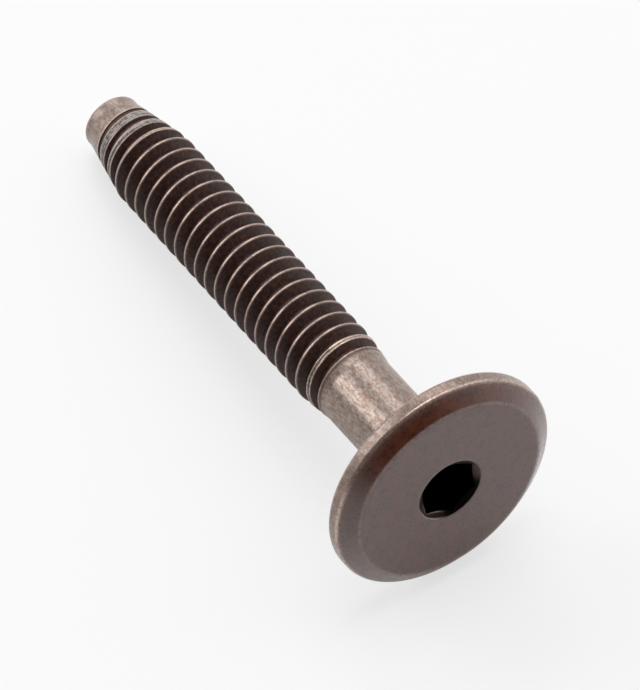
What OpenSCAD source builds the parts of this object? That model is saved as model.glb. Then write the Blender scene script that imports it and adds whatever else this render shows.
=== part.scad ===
// Large flat head bolt: a wide bevelled head with a hex socket, a plain upper shank,
// a coarse rolled thread with a tapered lead-in, and a short dog point.
// It stands on its head: the flat face lies on z = 0 and the shank points up +Z. Millimetres.

/* [Head] */
// Diameter over the rim of the head
head_d = 17; // [15:0.5:20]
// Thickness of the head, from its flat face to its underside
head_h = 2; // [1.8:0.1:2.8]
// Width of the bevel round the flat face, along the radius
bevel_w = 1.3; // [0.8:0.02:1.5]
// Height of the bevel, along the axis
bevel_h = 0.92; // [0.6:0.02:1]
// Radius that softens the edge between the flat face and the bevel
face_edge_r = 0.8; // [0.3:0.05:0.85]
// Radius of the edge between the bevel and the rim
bevel_edge_r = 0.12; // [0.08:0.01:0.2]
// Radius of the rounded edge between the rim and the underside
rim_edge_r = 0.4; // [0.2:0.05:0.5]

/* [Hex socket] */
// Size of the hex socket across its flats
socket_af = 4; // [3:0.1:4.2]
// Depth of the hex socket below the flat face
socket_depth = 2.6; // [2:0.1:3.2]
// How far the countersink reaches past the socket's corners, along the radius
mouth_margin = 0.18; // [0.1:0.01:0.4]
// Angle of the countersink's wall to the axis
mouth_angle = 60; // [45:1:70]
// Turn of the socket about the axis
socket_turn = 51; // [0:1:59]

/* [Shank] */
// Length from the underside of the head to the end of the dog point
body_l = 40.5; // [32:0.1:60]
// Diameter of the plain shank under the head
shank_d = 5.45; // [5.2:0.05:5.6]
// Length of the plain shank, from the head to where the metal rises into the thread
plain_l = 9.05; // [4:0.05:14]
// Radius of the fillet between the plain shank and the head
neck_r = 0.3; // [0.1:0.05:0.5]

/* [Thread] */
// Diameter over the full crests
thread_d = 6.2; // [6:0.05:6.35]
// Distance from one turn to the next
pitch = 1.27; // [1.2:0.01:1.4]
// Width of the flat on a full crest
crest_w = 0.2; // [0.1:0.01:0.25]
// Width of the flat at the root
root_w = 0.26; // [0.15:0.01:0.3]
// Angle of each flank to a plane across the axis
flank_angle = 30; // [28:0.5:32]
// Distance from the full crest down to the lip where the last groove starts, along the radius
lip_drop = 0.26; // [0.15:0.01:0.4]
// Length over which the metal rises from the plain shank to that lip
lip_l = 0.7; // [0.4:0.05:1]
// Length over which it rises from the lip to the full crest
rise_l = 2.15; // [1:0.05:2.6]
// Distance from the end of the plain shank to the middle of the last full groove
last_groove_l = 0.94; // [0.8:0.02:1.3]
// Depth the groove keeps where it runs out along the lead-in taper
shallow_groove = 0.13; // [0.06:0.01:0.2]
// Distance from the end of the groove to the end of the lead-in taper
groove_end_l = 0.7; // [0.5:0.05:1.5]
// Part of a turn over which the groove fades out at each end
fade_turns = 0.35; // [0.2:0.05:0.6]
// Turn of the thread about the axis
thread_turn = 180; // [0:5:355]

/* [Point] */
// Diameter of the dog point
dog_d = 4.32; // [3.9:0.02:4.6]
// Length of the dog point, from its end to where the lead-in taper starts
dog_l = 0.75; // [0.5:0.05:1.5]
// Radius of the edge round the dog point's end
dog_edge_r = 0.3; // [0.1:0.05:0.4]
// Length of the lead-in taper, from the dog point to the full crest
taper_l = 4.95; // [4:0.05:7]

/* [Hidden] */
$fn = 96;
bolt_color = [0.42, 0.33, 0.29];
total_l = head_h + body_l;
taper_end_z = total_l - dog_l;
// The groove's cutting shape stands this far outside the crests, and the socket's this far below the face.
groove_over = 0.06;
socket_over = 1;
// Stations round one turn of the groove
turn_steps = 30;
groove_depth = (pitch - crest_w - root_w) / (2 * tan(flank_angle));
root_r = thread_d / 2 - groove_depth;
groove_r = thread_d / 2 + groove_over;
groove_w = pitch - crest_w + 2 * groove_over * tan(flank_angle);
groove_start_z = head_h + plain_l + last_groove_l - fade_turns * pitch;
groove_turns = (taper_end_z - groove_end_l - groove_start_z) / pitch;
groove_steps = ceil(groove_turns * turn_steps);
taper_slope = (thread_d - dog_d) / (2 * taper_l);
socket_d = socket_af / cos(30);
mouth_r = socket_d / 2 + mouth_margin;
mouth_slope = tan(mouth_angle);

// A corner's two tangent points and its arc's centre, for the corner at b between a and c
function unit(v) = v / norm(v);
function corner_cut(a, b, c, r) = r * tan((180 - angle_at(a, b, c)) / 2);
function angle_at(a, b, c) = acos(unit(a - b) * unit(c - b));
function tangents(a, b, c, r) = let (cut = corner_cut(a, b, c, r))
    r == 0 ? [b] : [b + cut * unit(a - b), b + cut * unit(c - b)];
function arc_centre(a, b, c, r) =
    b + r / sin(angle_at(a, b, c) / 2) * unit(unit(a - b) + unit(c - b));

// The bolt's half section as [radius, height, edge radius]; a negative edge radius is an inside corner.
section = [
    [0, 0, 0],
    [head_d / 2 - bevel_w, 0, face_edge_r],
    [head_d / 2, bevel_h, bevel_edge_r],
    [head_d / 2, head_h, rim_edge_r],
    [shank_d / 2, head_h, -neck_r],
    [shank_d / 2, head_h + plain_l, 0],
    [thread_d / 2 - lip_drop, head_h + plain_l + lip_l, 0],
    [thread_d / 2, head_h + plain_l + lip_l + rise_l, 0],
    [thread_d / 2, taper_end_z - taper_l, 0],
    [dog_d / 2, taper_end_z, 0],
    [dog_d / 2, total_l, dog_edge_r],
    [0, total_l, 0],
];
last_corner = len(section) - 1;
function corner(i) = [section[i][0], section[i][1]];
function before(i) = corner(i == 0 ? last_corner : i - 1);
function after(i) = corner(i == last_corner ? 0 : i + 1);

module edge_circles(side) {
    for (i = [0:last_corner])
        if (section[i][2] * side > 0)
            translate(arc_centre(before(i), corner(i), after(i), abs(section[i][2])))
                circle(r = abs(section[i][2]));
}

module blank() {
    rotate_extrude() difference() {
        union() {
            polygon([for (i = [0:last_corner])
                each tangents(before(i), corner(i), after(i), abs(section[i][2]))]);
            edge_circles(1);
        }
        edge_circles(-1);
    }
}

// How far the groove is lifted out of the metal, t turns from its start, where it has the height z:
// it fades in and out at its ends, and its root follows the taper where the metal grows too thin
function taper_r(z) = dog_d / 2 + taper_slope * (taper_end_z - z);
function lift(t, z) =
    (groove_depth + groove_over) * max(0, 1 - t / fade_turns)
    + (shallow_groove + groove_over) * max(0, 1 - (groove_turns - t) / fade_turns)
    + min(0, taper_r(z) - shallow_groove - root_r);

// One station of the groove: its four corners at angle a and height z, lifted out of the metal by lift
function station(a, z, lift) = [
    for (c = [[groove_r, -groove_w / 2], [root_r, -root_w / 2], [root_r, root_w / 2], [groove_r, groove_w / 2]])
        [(c[0] + lift) * cos(a), (c[0] + lift) * sin(a), z + c[1]]];

module thread_groove() {
    points = [for (i = [0:groove_steps])
        let (t = i / turn_steps, z = groove_start_z + t * pitch)
        each station(thread_turn + 360 * (t - fade_turns), z, lift(t, z))];
    walls = [for (i = [0:groove_steps - 1], k = [0:3])
        let (a = 4 * i + k, b = 4 * i + (k + 1) % 4)
        each [[a, b + 4, b], [a, a + 4, b + 4]]];
    ends = [[0, 1, 2, 3], [for (k = [3:-1:0]) 4 * groove_steps + k]];
    polyhedron(points, concat(walls, ends));
}

// The countersink is a cone that starts below the face and ends within the hex
module socket() {
    rotate(socket_turn) translate([0, 0, -socket_over])
        cylinder(h = socket_over + socket_depth, d = socket_d, $fn = 6);
    translate([0, 0, -mouth_margin])
        cylinder(h = mouth_r / mouth_slope,
            r1 = mouth_r + mouth_margin * mouth_slope, r2 = mouth_margin * mouth_slope);
}

module bolt() {
    color(bolt_color) difference() {
        blank();
        thread_groove();
        socket();
    }
}

bolt();
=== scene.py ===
"""Large flat head bolt: its fine mesh, its bronze plating, the floor, the lights and the camera."""

import math

import bmesh
import bpy
from mathutils import Matrix, Vector


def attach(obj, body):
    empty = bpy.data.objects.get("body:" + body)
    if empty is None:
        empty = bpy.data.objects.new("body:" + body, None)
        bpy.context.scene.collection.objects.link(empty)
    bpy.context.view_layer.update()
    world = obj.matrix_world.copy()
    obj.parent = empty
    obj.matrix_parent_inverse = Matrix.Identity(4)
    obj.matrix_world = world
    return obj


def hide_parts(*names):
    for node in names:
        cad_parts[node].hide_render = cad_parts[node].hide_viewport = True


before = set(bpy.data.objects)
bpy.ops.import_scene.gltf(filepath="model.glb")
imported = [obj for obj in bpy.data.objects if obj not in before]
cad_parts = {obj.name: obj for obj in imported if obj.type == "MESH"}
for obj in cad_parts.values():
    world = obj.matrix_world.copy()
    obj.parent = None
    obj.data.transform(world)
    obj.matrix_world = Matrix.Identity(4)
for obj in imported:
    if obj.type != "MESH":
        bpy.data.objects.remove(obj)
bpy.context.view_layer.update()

# Sizes are in millimetres, as in the part's source, and the finished mesh is scaled to metres.
MM = 0.001
# Steps of the mesh in one turn, in a rounded corner and in the neck's fillet
TURN_STEPS = 120
CORNER_STEPS = 6
NECK_STEPS = 5

HEAD_R = 8.5
HEAD_H = 2.0
BEVEL_W = 1.3
BEVEL_H = 0.92
FACE_EDGE_R = 0.8
BEVEL_EDGE_R = 0.26
RIM_EDGE_R = 0.4
NECK_R = 0.3

SOCKET_AF = 4.0
SOCKET_DEPTH = 2.6
SOCKET_TURN = math.radians(51)
MOUTH_MARGIN = 0.18
MOUTH_R = SOCKET_AF / 2 / math.cos(math.pi / 6) + MOUTH_MARGIN
MOUTH_SLOPE = math.tan(math.radians(60))
# Width of the lip round the mouth, and depth of the band below the countersink over which the
# walls' painted glint fades into painted shade
MOUTH_LIP = 0.05
WALL_BAND = 0.07
# Sides of the socket's mouth that carry a painted glint, and a paler painted grey light
GLINT_SIDE = math.radians(160)
GREY_LIT_SIDE = math.radians(12)

SHANK_R = 2.725
PLAIN_END = 11.05
LIP_R = 2.84
LIP_END = 11.75
CREST_R = 3.1
RISE_END = 13.9
TAPER_START = 36.8
TAPER_END = 41.75
POINT_R = 2.16
TOTAL_L = 42.5
POINT_EDGE_R = 0.3

PITCH = 1.27
CREST_W = 0.2
ROOT_W = 0.26
FLANK_SLOPE = math.tan(math.radians(30))
ROOT_R = CREST_R - (PITCH - CREST_W - ROOT_W) / (2 * FLANK_SLOPE)
SHALLOW_GROOVE = 0.13
GROOVE_OVER = 0.06
# Height and angle of the middle of the last groove, which is the one nearest the head
LAST_GROOVE_Z = 11.99
LAST_GROOVE_ANGLE = math.pi
GROOVE_END = 41.05
FADE_TURNS = 0.35
# Least height of a flank, kept where its groove has faded out
LEAST_RISE = 0.03
# Where the winding starts, in turns past the last groove, and the least number of turns wound
FIRST_TURN = -2.6
MIN_TURNS = 26

# The crests that the rolling left unfilled have two lips with a valley between them. It comes in
# between these depths of the grooves beside it, and between these widths of the crest.
VALLEY_DEPTH = 0.08
VALLEY_CUTS = (0.03, 0.15)
VALLEY_WIDTHS = (0.28, 0.36)
LIP_W = 0.07
LIP_REACH = 0.13

# Depths of a groove between which its edge of the crest comes to be rubbed
RUBBED_CUTS = (0.03, 0.12)
# A crest with no groove below it is stained: depths of that groove between which the stain goes,
# and distances from the crest's upper edge between which it ends
STAIN_CUTS = (0.0, 0.05)
STAIN_REACH = (0.2, 0.42)
# Widths between which a crest stops counting as narrow
NARROW_WIDTHS = (0.22, 0.3)
# Depths on a flank, below the blank's surface, between which its polish ends, its copper starts
# and ends, and it comes to lie in the groove
FLANK_POLISH = (0.0, 0.045)
FLANK_COPPER = (0.002, 0.008)
FLANK_COPPER_END = (0.01, 0.04)
FLANK_RECESS = (0.008, 0.08)
# Distances from a worn edge of the head between which its copper ends; that copper is partly
# wear and partly a painted highlight
WEAR_AND_HIGHLIGHT_REACH = (0.06, 0.16)

# Outline of the blank as (radius, height), from the shank to the end of the point
BLANK = (
    (SHANK_R, 0.0),
    (SHANK_R, PLAIN_END),
    (LIP_R, LIP_END),
    (CREST_R, RISE_END),
    (CREST_R, TAPER_START),
    (POINT_R, TAPER_END),
    (POINT_R, TOTAL_L),
)

# The wound thread is cut level here, and joined to where the spun shank ends and the point starts.
SHANK_CUT = 10.3
SHANK_END = SHANK_CUT - 0.1
POINT_CUT = 41.6
POINT_START = POINT_CUT + 0.05
# Longest step along the section of the spun head and point
STEP = 0.16
# Distance within which two places are one, and the coarser one for the turns of the thread
SAME = 1e-4
SAME_TURN = 0.002

# What each vertex tells the material: how far the plating is polished, which in the socket is a
# painted glint; how far it is rubbed down to its copper, which on the head's edges, on narrow crests
# and in the socket is partly or wholly a painted highlight; how deep it lies in a groove, up to 1,
# which on narrow crests' sides is painted shade, or in the socket's painted near-black shade, up to 2;
# and how far its surface is left rough.
FINISHES = ("polish_and_highlight", "copper_and_highlight", "recess_and_shade", "rough")


def mix(a, b, t):
    """Value between a and b at t."""
    return a + (b - a) * t


def smooth_step(low, high, value):
    """0 below low, 1 above high, and a smooth rise between them."""
    t = min(1.0, max(0.0, (value - low) / (high - low)))
    return t * t * (3 - 2 * t)


def blank_radius(z):
    """Radius of the bolt before its thread is rolled, at height z above the head's face."""
    for (r0, z0), (r1, z1) in zip(BLANK, BLANK[1:]):
        if z < z1:
            return mix(r0, r1, (z - z0) / (z1 - z0))
    return BLANK[-1][0]


def set_finish(bm, vert, finish):
    """Writes one vertex's finish, in the order of FINISHES."""
    for name, value in zip(FINISHES, finish):
        vert[bm.verts.layers.float[name]] = value


def wire(bm, points):
    """Chain of edges through points given as (radius, height), in the plane y = 0."""
    verts = [bm.verts.new((r, 0.0, z)) for r, z in points]
    edges = [bm.edges.new(pair) for pair in zip(verts, verts[1:])]
    return verts, edges


def round_corner(bm, vert, radius, segments):
    """Rounds a corner of a wire to an arc of that radius."""
    a, b = [e.other_vert(vert).co - vert.co for e in vert.link_edges]
    cut = radius * math.tan((math.pi - a.angle(b)) / 2)
    bmesh.ops.bevel(
        bm, geom=[vert], offset=cut, offset_type="OFFSET", segments=segments,
        profile=0.5, affect="VERTICES", material=-1, clamp_overlap=False,
    )


def spin_round(bm, geom):
    """Turns a wire once round the bolt's axis."""
    bmesh.ops.spin(
        bm, geom=geom, cent=(0, 0, 0), axis=(0, 0, 1), angle=2 * math.pi,
        steps=TURN_STEPS, use_merge=True,
    )


def divide_long_edges(bm):
    """Divides a wire's edges into steps no longer than STEP."""
    for edge in bm.edges[:]:
        cuts = math.ceil(edge.calc_length() / STEP) - 1
        if cuts > 0:
            bmesh.ops.subdivide_edges(bm, edges=[edge], cuts=cuts)


def rim_loop(bm, z):
    """Open edges of the mesh that lie at height z."""
    return [e for e in bm.edges if e.is_boundary and all(abs(v.co.z - z) < SAME for v in e.verts)]


def groove_root(turn):
    """Radius of the groove's root: it fades in and out at its ends, and follows the taper."""
    centre = LAST_GROOVE_Z + turn * PITCH
    fade_in = max(0.0, -turn / FADE_TURNS)
    fade_out = max(0.0, 1 - (GROOVE_END - centre) / PITCH / FADE_TURNS)
    lift = (CREST_R - ROOT_R + GROOVE_OVER) * fade_in + (SHALLOW_GROOVE + GROOVE_OVER) * fade_out
    return min(ROOT_R, blank_radius(centre) - SHALLOW_GROOVE) + lift


def flank_top(centre, side, root):
    """Height where a flank meets the blank's surface, on the side (-1 or 1) of a groove."""
    rise = LEAST_RISE
    for _ in range(6):
        surface = blank_radius(centre + side * (ROOT_W / 2 + rise))
        rise = max(LEAST_RISE, (surface - root) * FLANK_SLOPE)
    return centre + side * (ROOT_W / 2 + rise)


# Places across one turn of the thread, from the middle of a groove to the middle of the next:
# how far up the lower flank, along the crest, or down the upper flank each line of the mesh runs.
FLANK_LINES = (0.0, 0.35, 0.7, 0.88, 0.96)
CREST_LINES = (0.0, 0.2, 0.36, 0.5, 0.64, 0.8, 1.0)
LINES = 1 + len(FLANK_LINES) + len(CREST_LINES) + len(FLANK_LINES) + 1


def flank_finish(depth):
    """Finish of a flank at a depth below the blank's surface."""
    polish_and_highlight = 1 - smooth_step(*FLANK_POLISH, depth)
    copper_and_highlight = smooth_step(*FLANK_COPPER, depth) * (1 - smooth_step(*FLANK_COPPER_END, depth))
    return polish_and_highlight, 0.7 * copper_and_highlight, smooth_step(*FLANK_RECESS, depth), 0.0


def crest_point(t, low, high, lower_cut, upper_cut, centre):
    """Radius, height and finish at the fraction t along a crest, between its two grooves' cuts."""
    z = mix(low, high, t)
    width = high - low
    from_lower = t * width
    from_upper = (1 - t) * width
    lower_rub = smooth_step(*RUBBED_CUTS, lower_cut)
    upper_rub = smooth_step(*RUBBED_CUTS, upper_cut)
    lower_edge = lower_rub * (1 - smooth_step(LIP_W, LIP_REACH, from_lower))
    upper_edge = upper_rub * (1 - smooth_step(LIP_W, LIP_REACH, from_upper))
    edge = max(lower_edge, upper_edge)
    valley = smooth_step(*VALLEY_CUTS, min(lower_cut, upper_cut)) * smooth_step(*VALLEY_WIDTHS, width)
    r = blank_radius(z)
    if centre < RISE_END:
        r -= VALLEY_DEPTH * valley * (1 - edge)
    # Narrow crests: a thin copper line along the middle, partly wear and partly a painted highlight,
    # with painted shade darkening their sides and toning the whole crest down.
    narrow = 1 - smooth_step(*NARROW_WIDTHS, width)
    side = narrow * smooth_step(0.08, 0.45, abs(t - 0.5))
    stain = (1 - edge) * upper_rub * (1 - smooth_step(*STAIN_CUTS, lower_cut))
    stain *= 1 - smooth_step(*STAIN_REACH, from_upper)
    polish_and_highlight = (1.0 - side) * (1 - 0.7 * stain) * (1 - 0.3 * narrow)
    copper_and_highlight = max(edge, 0.38 * narrow) * (1 - 0.7 * side)
    recess_and_shade = max(0.7 * side, 0.55 * stain, 0.2 * narrow)
    rough = valley * (1 - edge)
    return r, z, (polish_and_highlight, copper_and_highlight, recess_and_shade, rough)


def thread_point(line, turn):
    """Radius, height and finish of a line of the thread, a number of turns past the last groove."""
    centre = LAST_GROOVE_Z + turn * PITCH
    lower_root = groove_root(turn)
    upper_root = groove_root(turn + 1)
    low = flank_top(centre, 1, lower_root)
    high = flank_top(centre + PITCH, -1, upper_root)
    half = ROOT_W / 2
    last = LINES - 1
    if len(FLANK_LINES) < line < last - len(FLANK_LINES):
        t = CREST_LINES[line - 1 - len(FLANK_LINES)]
        lower_cut = blank_radius(centre) - lower_root
        upper_cut = blank_radius(centre + PITCH) - upper_root
        return crest_point(t, low, high, lower_cut, upper_cut, centre)
    if line == 0:
        z, r = centre, lower_root
    elif line == last:
        z, r = centre + PITCH, upper_root
    elif line <= len(FLANK_LINES):
        z = mix(centre + half, low, FLANK_LINES[line - 1])
        r = lower_root + (z - centre - half) / FLANK_SLOPE
    else:
        z = mix(centre + PITCH - half, high, FLANK_LINES[last - 1 - line])
        r = upper_root + (centre + PITCH - half - z) / FLANK_SLOPE
    surface = blank_radius(z)
    return min(r, surface), z, flank_finish(max(0.0, surface - r))


def wound_thread(bm):
    """Winds the thread up from one turn's profile, then lays each line of it on the blank."""
    line_layer = bm.verts.layers.int.new("line")
    spacing = PITCH / (LINES - 1)
    start = LAST_GROOVE_Z + FIRST_TURN * PITCH
    verts, edges = wire(bm, [(CREST_R, start + spacing * i) for i in range(LINES)])
    for i, v in enumerate(verts):
        v[line_layer] = i
    turned = Matrix.Rotation(LAST_GROOVE_ANGLE + FIRST_TURN * 2 * math.pi, 3, "Z")
    bmesh.ops.rotate(bm, verts=verts, cent=(0, 0, 0), matrix=turned)
    bmesh.ops.spin(
        bm, geom=verts + edges, cent=(0, 0, 0), axis=(0, 0, 1),
        dvec=(0, 0, PITCH / TURN_STEPS), angle=2 * math.pi, steps=TURN_STEPS,
    )
    turns = 1
    while turns < MIN_TURNS:
        copy = bmesh.ops.duplicate(bm, geom=bm.verts[:] + bm.edges[:] + bm.faces[:])["geom"]
        raised = [g for g in copy if isinstance(g, bmesh.types.BMVert)]
        bmesh.ops.translate(bm, verts=raised, vec=(0, 0, PITCH * turns))
        turns *= 2
    bmesh.ops.remove_doubles(bm, verts=bm.verts, dist=SAME_TURN)
    for v in bm.verts:
        line = v[line_layer]
        turn = (v.co.z - LAST_GROOVE_Z - spacing * line) / PITCH
        angle = LAST_GROOVE_ANGLE + turn * 2 * math.pi
        r, z, finish = thread_point(line, turn)
        v.co = (r * math.cos(angle), r * math.sin(angle), z)
        set_finish(bm, v, finish)
    for height, side in ((SHANK_CUT, True), (POINT_CUT, False)):
        bmesh.ops.bisect_plane(
            bm, geom=bm.verts[:] + bm.edges[:] + bm.faces[:], dist=1e-5,
            plane_co=(0, 0, height), plane_no=(0, 0, 1), clear_inner=side, clear_outer=not side,
        )


def ring_distance(vert, r, z):
    """Distance of a vertex from the circle of radius r at height z."""
    return math.hypot(math.hypot(vert.co.x, vert.co.y) - r, vert.co.z - z)


def head_finish(vert):
    """Finish of the head and plain shank at a vertex."""
    z = vert.co.z
    r = math.hypot(vert.co.x, vert.co.y)
    if z > HEAD_H - 0.01 and r < HEAD_R - RIM_EDGE_R:
        underside = z < HEAD_H + 0.01
        return (0.35 if underside else 1.0), 0.0, 0.0, 0.0
    # Radius and height of each worn edge, and how strong its copper is: partly wear and partly a
    # painted highlight, mostly on the bevel's outer edge
    worn_and_highlit_edges = (
        (HEAD_R - 0.04, BEVEL_H, 1.0),
        (HEAD_R - 0.12, HEAD_H - 0.12, 0.9),
        (HEAD_R - BEVEL_W, 0.05, 0.25),
    )
    copper_and_highlight = max(
        wear_and_highlight * (1 - smooth_step(*WEAR_AND_HIGHLIGHT_REACH, ring_distance(vert, edge_r, edge_z)))
        for edge_r, edge_z, wear_and_highlight in worn_and_highlit_edges
    )
    rim = smooth_step(BEVEL_H - 0.02, BEVEL_H + 0.08, z)
    worn_bevel = smooth_step(BEVEL_H / 2, BEVEL_H, z)
    return max(0.3 * worn_bevel, 0.8 * rim), copper_and_highlight, 0.0, 0.0


def spun_head(bm):
    """Head and plain shank, up to the level where the thread's mesh starts."""
    points = [
        (MOUTH_R, 0.0),
        (HEAD_R - BEVEL_W, 0.0),
        (HEAD_R, BEVEL_H),
        (HEAD_R, HEAD_H),
        (SHANK_R, HEAD_H),
        (SHANK_R, SHANK_END),
    ]
    verts, _ = wire(bm, points)
    round_corner(bm, verts[1], FACE_EDGE_R, CORNER_STEPS)
    round_corner(bm, verts[2], BEVEL_EDGE_R, CORNER_STEPS)
    round_corner(bm, verts[3], RIM_EDGE_R, CORNER_STEPS)
    round_corner(bm, verts[4], NECK_R, NECK_STEPS)
    divide_long_edges(bm)
    spin_round(bm, bm.verts[:] + bm.edges[:])


def mouth_depth(r):
    """Depth at which the countersink's cone has the radius r."""
    return (MOUTH_R - r) / MOUTH_SLOPE


def wall_top(r):
    """Depth of a line on the walls just past the countersink, where their painted glint ends."""
    return mouth_depth(r) + WALL_BAND


def socket_floor(_):
    """Depth of the socket's flat bottom, which is the same at every radius."""
    return SOCKET_DEPTH


# Loops of the socket from its mouth inwards: how far each has gone from the circle of the mouth
# to the hex, its depth, and how strong its painted glint on one side and its painted grey light on
# another are.
SOCKET_LOOPS = (
    (0.0, mouth_depth, 1.0, 0.7),
    (0.25, mouth_depth, 0.1, 0.7),
    (0.75, mouth_depth, 0.1, 0.4),
    (1.0, mouth_depth, 1.0, 0.4),
    (1.0, wall_top, 0.0, 0.0),
    (1.0, socket_floor, 0.0, 0.0),
)


def extruded_edge(bm, edge):
    """Extrudes an open edge loop in place, and gives the new loop's edges and vertices."""
    made = bmesh.ops.extrude_edge_only(bm, edges=edge)["geom"]
    edge = [g for g in made if isinstance(g, bmesh.types.BMEdge) and g.is_boundary]
    return edge, set(v for e in edge for v in e.verts)


def hex_socket(bm):
    """Countersink, six walls and floor of the socket, from the open edge of the head's face, with its
    painted glint, grey light and near-black shade.
    """
    edge = rim_loop(bm, 0.0)
    for share, depth_of, glint_strength, grey_lit_strength in SOCKET_LOOPS:
        edge, verts = extruded_edge(bm, edge)
        for v in verts:
            angle = math.atan2(v.co.y, v.co.x)
            off_flat = (angle - SOCKET_TURN) % (math.pi / 3) - math.pi / 6
            r = mix(MOUTH_R - MOUTH_LIP, SOCKET_AF / 2 / math.cos(off_flat), share)
            v.co = (r * math.cos(angle), r * math.sin(angle), depth_of(r))
            # Painted light and shade: a glint on one side, a paler grey light on another, and near-black
            # shade, through a recess value near 2, everywhere else.
            glint = glint_strength * smooth_step(0.75, 0.95, math.cos(angle - GLINT_SIDE))
            grey_lit = grey_lit_strength * smooth_step(0.85, 1.0, math.cos(angle - GREY_LIT_SIDE))
            set_finish(bm, v, (1.3 * glint, 0.6 * glint, 1.9 - 1.8 * glint - grey_lit, 0.0))
    bmesh.ops.edgeloop_fill(bm, edges=edge)


def head(bm):
    """Head with its socket, and the plain shank."""
    spun_head(bm)
    for v in bm.verts:
        set_finish(bm, v, head_finish(v))
    hex_socket(bm)


def point(bm):
    """Plain end of the point, from the level where the thread's mesh ends."""
    points = [
        (blank_radius(POINT_START), POINT_START),
        (POINT_R, TAPER_END),
        (POINT_R, TOTAL_L),
        (0.0, TOTAL_L),
    ]
    verts, _ = wire(bm, points)
    round_corner(bm, verts[2], POINT_EDGE_R, CORNER_STEPS)
    divide_long_edges(bm)
    spin_round(bm, bm.verts[:] + bm.edges[:])
    for v in bm.verts:
        edge = 1 - smooth_step(0.03, 0.2, ring_distance(v, POINT_R - 0.06, TOTAL_L - 0.12))
        flat_end = smooth_step(TOTAL_L - 0.15, TOTAL_L - 0.02, v.co.z)
        set_finish(bm, v, (0.65 - 0.45 * flat_end, max(0.15, edge), 0.0, 0.15))


def joined(*makers):
    """One closed mesh of the shapes that the makers make."""
    whole = bmesh.new()
    for name in FINISHES:
        whole.verts.layers.float.new(name)
    for make in makers:
        part = bmesh.new()
        for name in FINISHES:
            part.verts.layers.float.new(name)
        make(part)
        bmesh.ops.remove_doubles(part, verts=part.verts, dist=SAME)
        scratch = bpy.data.meshes.new("scratch")
        part.to_mesh(scratch)
        part.free()
        whole.from_mesh(scratch)
        bpy.data.meshes.remove(scratch)
    for low, high in ((SHANK_END, SHANK_CUT), (POINT_CUT, POINT_START)):
        bmesh.ops.bridge_loops(whole, edges=rim_loop(whole, low) + rim_loop(whole, high))
    bmesh.ops.recalc_face_normals(whole, faces=whole.faces)
    return whole


def add_node(tree, kind, inputs, **settings):
    """Adds a node, and sets or links each of its inputs."""
    made = tree.nodes.new(kind)
    for key, value in settings.items():
        setattr(made, key, value)
    for key, value in inputs.items():
        if isinstance(value, bpy.types.NodeSocket):
            tree.links.new(value, made.inputs[key])
        else:
            made.inputs[key].default_value = value
    return made


def finish_mask(tree, name):
    """Value of a finish that the mesh carries at each vertex."""
    return add_node(tree, "ShaderNodeAttribute", {}, attribute_name=name).outputs["Fac"]


def in_range(tree, value, low, high, to_low=0.0, to_high=1.0):
    """Value between to_low and to_high, as a value goes from low to high."""
    return add_node(
        tree, "ShaderNodeMapRange", {0: value, 1: low, 2: high, 3: to_low, 4: to_high},
        interpolation_type="SMOOTHSTEP",
    ).outputs[0]


def reckon(tree, operation, a, b):
    """Result of a sum on two values."""
    return add_node(tree, "ShaderNodeMath", {0: a, 1: b}, operation=operation).outputs[0]


def blend(tree, factor, a, b):
    """Colour between a and b."""
    return add_node(tree, "ShaderNodeMix", {0: factor, 6: a, 7: b}, data_type="RGBA").outputs[2]


def grain(tree, place, stretch, scale, detail, roughness=0.5):
    """Noise with that many features to the millimetre, stretched along the bolt or round it."""
    stretched = add_node(tree, "ShaderNodeMapping", {"Vector": place, "Scale": stretch}).outputs[0]
    return add_node(
        tree, "ShaderNodeTexNoise",
        {"Vector": stretched, "Scale": scale, "Detail": detail, "Roughness": roughness},
    ).outputs[0]


# Colours of the plating, most of them a pair that it varies between
DARK = ((0.050, 0.013, 0.005, 1), (0.120, 0.029, 0.011, 1))
METAL = ((0.245, 0.158, 0.114, 1), (0.345, 0.302, 0.272, 1))
GROOVE = ((0.028, 0.011, 0.008, 1), (0.094, 0.038, 0.025, 1))
SCUFFED = ((0.040, 0.026, 0.021, 1), (0.34, 0.315, 0.30, 1))
# Copper of worn edges, also the colour of painted highlights
COPPER_AND_HIGHLIGHT = (0.56, 0.42, 0.345, 1)
SPECK = (0.24, 0.13, 0.08, 1)
# Near-black painted shade for the inside of the socket
SOCKET_SHADE = (0.003, 0.002, 0.002, 1)
# Height of the grain's bumps
BUMP_HEIGHT = 0.014


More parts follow.
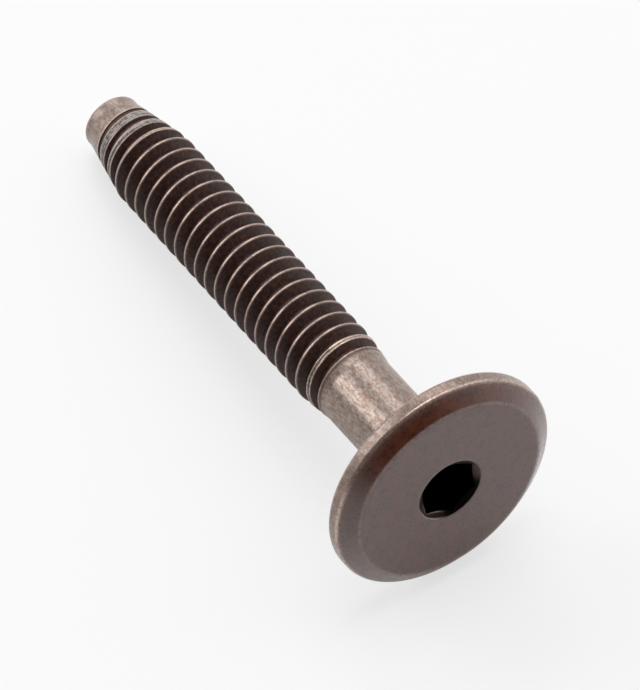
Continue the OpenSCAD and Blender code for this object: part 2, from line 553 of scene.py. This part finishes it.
def bronze_plating():
    """Antique bronze plating: dark in the grooves, polished on the shank, copper on worn edges, with
    painted highlights on the head's edges and narrow crests, and a painted glint and near-black painted
    shade in the socket.
    """
    plating = bpy.data.materials.new("bronze_plating")
    plating.use_nodes = True
    tree = plating.node_tree
    shader = tree.nodes["Principled BSDF"]
    coordinates = add_node(tree, "ShaderNodeTexCoord", {}).outputs["Object"]
    place = add_node(
        tree, "ShaderNodeVectorMath", {0: coordinates, 3: 1 / MM}, operation="SCALE",
    ).outputs[0]
    patches = grain(tree, place, (1, 1, 1), 0.9, 5, 0.6)
    streaks = grain(tree, place, (1, 1, 0.35), 6, 4, 0.7)
    mottle = grain(tree, place, (1, 1, 1), 4, 4, 0.7)
    fine = grain(tree, place, (1, 1, 1), 10, 3, 0.7)
    turned = grain(tree, place, (0.15, 0.15, 6), 1, 3, 0.6)

    polish_and_highlight = finish_mask(tree, "polish_and_highlight")
    copper_and_highlight = finish_mask(tree, "copper_and_highlight")
    recess_and_shade = finish_mask(tree, "recess_and_shade")
    rough = finish_mask(tree, "rough")
    cut = in_range(tree, recess_and_shade, 0, 1)
    # Painted near-black shade inside the socket, where the recess value goes past 1
    socket_shade = in_range(tree, recess_and_shade, 1, 2)
    uneven = reckon(tree, "ADD", patches, reckon(tree, "ADD", mottle, fine))
    shade = in_range(tree, reckon(tree, "ADD", streaks, mottle), 0.75, 1.2, 0.72, 1.0)
    shine = reckon(tree, "MULTIPLY", polish_and_highlight, shade)
    # Copper of worn edges, and painted highlights on the head's edges, on narrow crests and in the
    # socket
    bare_and_highlight = reckon(tree, "MULTIPLY", copper_and_highlight, in_range(tree, uneven, 1.25, 1.65, 0.25, 1.0))
    pitted = in_range(tree, reckon(tree, "ADD", turned, mottle), 0.82, 1.14)
    specks = reckon(tree, "MULTIPLY", in_range(tree, fine, 0.66, 0.74), cut)

    dark = blend(tree, in_range(tree, uneven, 1.2, 1.8), *DARK)
    metal = blend(tree, in_range(tree, streaks, 0.34, 0.66), *METAL)
    groove = blend(tree, in_range(tree, mottle, 0.4, 0.7), *GROOVE)
    scuffed = blend(tree, pitted, *SCUFFED)
    colour = blend(tree, shine, dark, metal)
    colour = blend(tree, bare_and_highlight, colour, COPPER_AND_HIGHLIGHT)
    colour = blend(tree, rough, colour, scuffed)
    colour = blend(tree, cut, colour, groove)
    colour = blend(tree, specks, colour, SPECK)
    colour = blend(tree, socket_shade, colour, SOCKET_SHADE)

    shiny = reckon(tree, "MULTIPLY", shine, 0.65)
    copper_and_highlight_metal = reckon(tree, "MULTIPLY", bare_and_highlight, 0.85)
    # The socket's painted shade is fully metallic, so its near-black colour reflects nearly nothing
    metallic = reckon(tree, "MAXIMUM", reckon(tree, "MAXIMUM", shiny, copper_and_highlight_metal), socket_shade)
    dulled = reckon(tree, "MULTIPLY", reckon(tree, "ADD", cut, rough), 0.25)
    roughness = reckon(tree, "ADD", in_range(tree, uneven, 1.2, 1.8, 0.24, 0.36), dulled)
    coat = in_range(tree, reckon(tree, "ADD", cut, polish_and_highlight), 0, 1, 0.8, 0.0)
    coarse_lumps = reckon(tree, "MULTIPLY", mottle, 0.45)
    fine_lumps = reckon(tree, "MULTIPLY", fine, 0.5)
    rings = reckon(tree, "MULTIPLY", turned, polish_and_highlight)
    height = reckon(tree, "ADD", reckon(tree, "ADD", coarse_lumps, fine_lumps), rings)
    bump = add_node(
        tree, "ShaderNodeBump", {"Height": height, "Strength": 1.0, "Distance": BUMP_HEIGHT * MM},
    )

    tree.links.new(colour, shader.inputs["Base Color"])
    tree.links.new(metallic, shader.inputs["Metallic"])
    tree.links.new(roughness, shader.inputs["Roughness"])
    tree.links.new(coat, shader.inputs["Coat Weight"])
    tree.links.new(bump.outputs[0], shader.inputs["Normal"])
    shader.inputs["Coat Roughness"].default_value = 0.3
    shader.inputs["Coat IOR"].default_value = 1.55
    return plating


def bolt_mesh():
    """The whole bolt's fine mesh, in metres."""
    whole = joined(wound_thread, head, point)
    bmesh.ops.scale(whole, vec=(MM, MM, MM), verts=whole.verts)
    for f in whole.faces:
        f.smooth = True
    mesh = bpy.data.meshes.new("bolt_body")
    whole.to_mesh(mesh)
    whole.free()
    mesh.set_sharp_from_angle(angle=math.radians(40))
    mesh.materials.append(bronze_plating())
    return mesh


def placed(name, data):
    """New object of that data, in the scene."""
    made = bpy.data.objects.new(name, data)
    bpy.context.collection.objects.link(made)
    return made


bolt = placed("bolt_body", bolt_mesh())
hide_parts("bolt")
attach(bolt, "root")

# The camera's own directions, its place in metres and its lens
VIEW_RIGHT = Vector((0.73644, 0.39612, -0.54841))
VIEW_UP = Vector((0.67651, -0.43121, 0.59699))
VIEW_BACK = VIEW_RIGHT.cross(VIEW_UP)
CAMERA_PLACE = (0.00016, -0.384369, -0.261669)
LENS = 365.4

# The floor just clears the rim of the head and the last full crests before the taper, so the bolt
# lies on its side. Its distance from the middle of the head's face is in millimetres.
FLOOR_UP = Vector((0.3782, -0.9132, -0.1517)).normalized()
FLOOR_DROP = 8.65
FLOOR_HALF_WIDTH = 1.5

# Place that the lights are aimed at, about the middle of the bolt
AIM = Vector((0, 0, 0.02))

# Studio: x to the right of the camera, y away from it, z up from the floor
AWAY = FLOOR_UP.cross(VIEW_RIGHT).normalized()
STUDIO = Matrix((AWAY.cross(FLOOR_UP), AWAY, FLOOR_UP)).transposed()

# Colours of the room, and of its darker front
PALE = (0.85, 0.85, 0.87, 1)
DIM = (0.03, 0.02, 0.017, 1)


def light_paper(paper):
    """White sheet that glows a little, which softens the shadows seen on it, and is clear from below."""
    tree = paper.node_tree
    shader = tree.nodes["Principled BSDF"]
    seen = add_node(tree, "ShaderNodeLightPath", {}).outputs["Is Camera Ray"]
    colour = blend(tree, seen, (0.78, 0.78, 0.78, 1), (0.24, 0.24, 0.24, 1))
    glow = in_range(tree, seen, 0, 1, 0.16, 0.68)
    tree.links.new(colour, shader.inputs["Base Color"])
    tree.links.new(glow, shader.inputs["Emission Strength"])
    shader.inputs["Emission Color"].default_value = (1, 1, 1, 1)
    shader.inputs["Roughness"].default_value = 0.8
    under = add_node(tree, "ShaderNodeNewGeometry", {}).outputs["Backfacing"]
    clear = add_node(tree, "ShaderNodeBsdfTransparent", {}).outputs[0]
    sheet = add_node(tree, "ShaderNodeMixShader", {0: under, 1: shader.outputs[0], 2: clear})
    tree.links.new(sheet.outputs[0], tree.nodes["Material Output"].inputs["Surface"])


def floor_sheet():
    """Square sheet that the bolt lies on."""
    bm = bmesh.new()
    bmesh.ops.create_grid(bm, x_segments=1, y_segments=1, size=FLOOR_HALF_WIDTH)
    bmesh.ops.translate(bm, verts=bm.verts, vec=(0, 0, -FLOOR_DROP * MM))
    bmesh.ops.transform(bm, matrix=STUDIO.to_4x4(), verts=bm.verts)
    mesh = bpy.data.meshes.new("floor")
    bm.to_mesh(mesh)
    bm.free()
    paper = bpy.data.materials.new("paper")
    paper.use_nodes = True
    light_paper(paper)
    mesh.materials.append(paper)
    return mesh


def dim_front(world):
    """Pale room all round, whose darker front only the bolt's reflections and light show."""
    tree = world.node_tree
    direction = add_node(tree, "ShaderNodeTexCoord", {}).outputs["Generated"]
    front = STUDIO @ Vector((-0.22, -0.92, 0.32))
    facing = add_node(
        tree, "ShaderNodeVectorMath", {0: direction, 1: front}, operation="DOT_PRODUCT",
    ).outputs["Value"]
    colour = blend(tree, in_range(tree, facing, -0.2, 0.6), PALE, DIM)
    seen = add_node(tree, "ShaderNodeLightPath", {}).outputs["Is Camera Ray"]
    tree.links.new(blend(tree, seen, colour, PALE), tree.nodes["Background"].inputs["Color"])


def softbox(name, azimuth, elevation, distance, size, energy):
    """Soft rectangular light, aimed at the middle of the bolt."""
    a, e = math.radians(azimuth), math.radians(elevation)
    direction = STUDIO @ Vector((math.sin(a) * math.cos(e), math.cos(a) * math.cos(e), math.sin(e)))
    data = bpy.data.lights.new(name, "AREA")
    data.shape = "RECTANGLE"
    data.size, data.size_y = size
    data.energy = energy
    lamp = placed(name, data)
    lamp.location = AIM + direction * distance
    lamp.rotation_mode = "QUATERNION"
    lamp.rotation_quaternion = direction.to_track_quat("Z", "Y")
    lamp.visible_camera = False


floor = placed("floor", floor_sheet())

world = bpy.data.worlds.new("studio")
world.use_nodes = True
bpy.context.scene.world = world
dim_front(world)

softbox("left_box", -69, 29, 0.6, (0.38, 0.25), 1.2)
softbox("back_box", -6, 33, 0.6, (0.28, 0.2), 0.6)
softbox("right_box", 60, 50, 1.0, (0.7, 0.7), 1.7)
softbox("top_box", 10, 78, 1.0, (0.5, 0.5), 3.4)

camera = placed("camera", bpy.data.cameras.new("camera"))
camera.data.lens = LENS
camera.data.sensor_width = 36
camera.data.clip_start = 0.05
camera.data.clip_end = 20
camera_axes = Matrix((VIEW_RIGHT, VIEW_UP, VIEW_BACK)).transposed()
camera.matrix_world = Matrix.Translation(CAMERA_PLACE) @ camera_axes.to_4x4()
bpy.context.scene.camera = camera
bpy.context.scene.view_settings.view_transform = "Standard"
